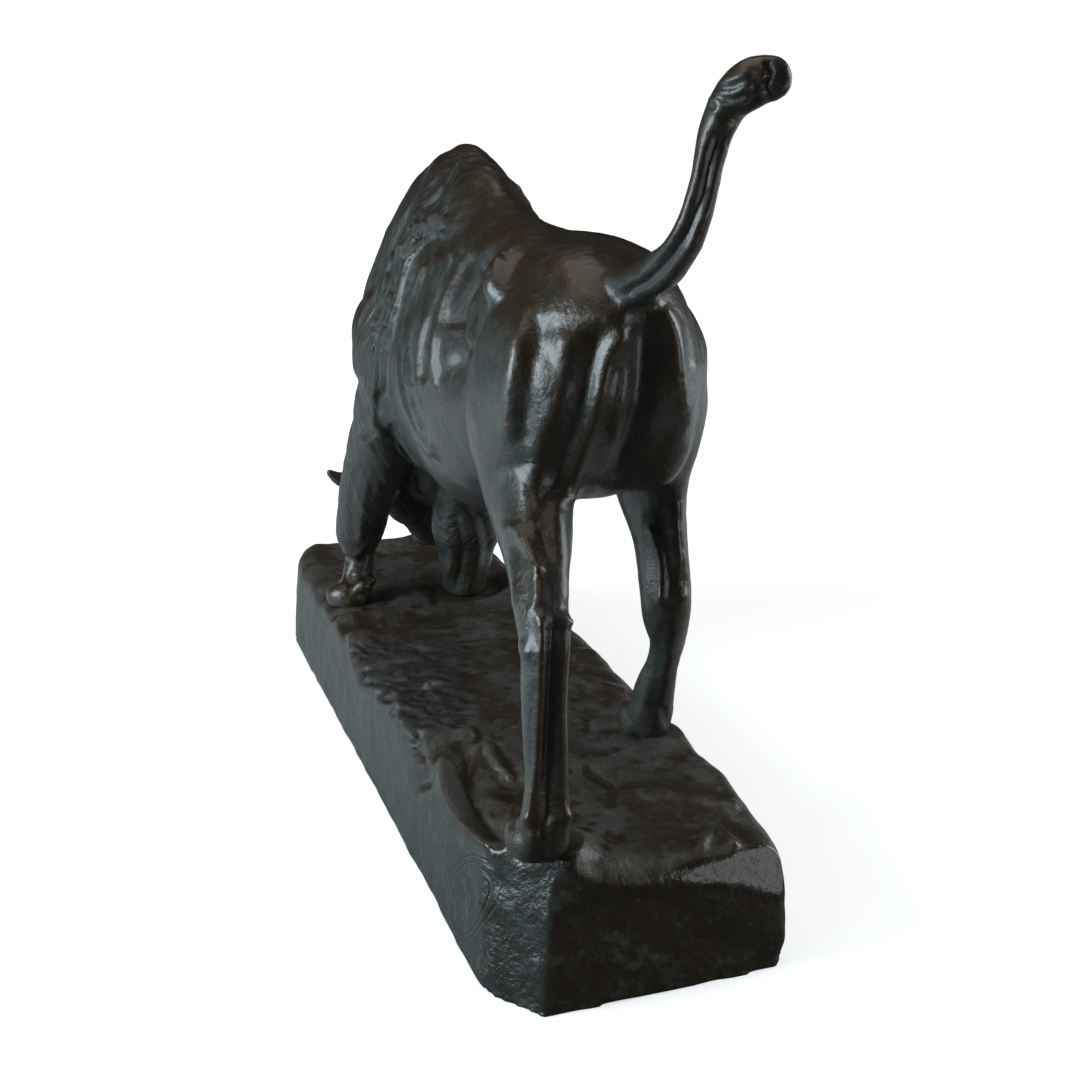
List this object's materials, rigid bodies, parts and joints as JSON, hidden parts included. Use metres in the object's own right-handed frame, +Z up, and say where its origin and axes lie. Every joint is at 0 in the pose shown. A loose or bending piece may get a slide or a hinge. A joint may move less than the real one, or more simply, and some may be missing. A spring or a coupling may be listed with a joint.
{
  "type": "bronze bison sculpture",
  "caption": "Cast bronze bison bull with lowered head, shaggy forequarters and raised tail, standing on a long rocky plinth.",
  "frame": {"origin": "middle of the plinth's flat underside", "axes": "+X along the plinth towards the bison's head, +Y towards the bison's left, +Z up"},
  "size_m": [0.4293, 0.1168, 0.3181],
  "materials": {
    "bison_bronze": "dark brown and green patina, waxed",
    "plinth_bronze": "dark brown and grey-green patina, less polished"
  },
  "bodies": {
    "root": {"bison": "bison_bronze", "plinth": "plinth_bronze"}
  },
  "joints": []
}
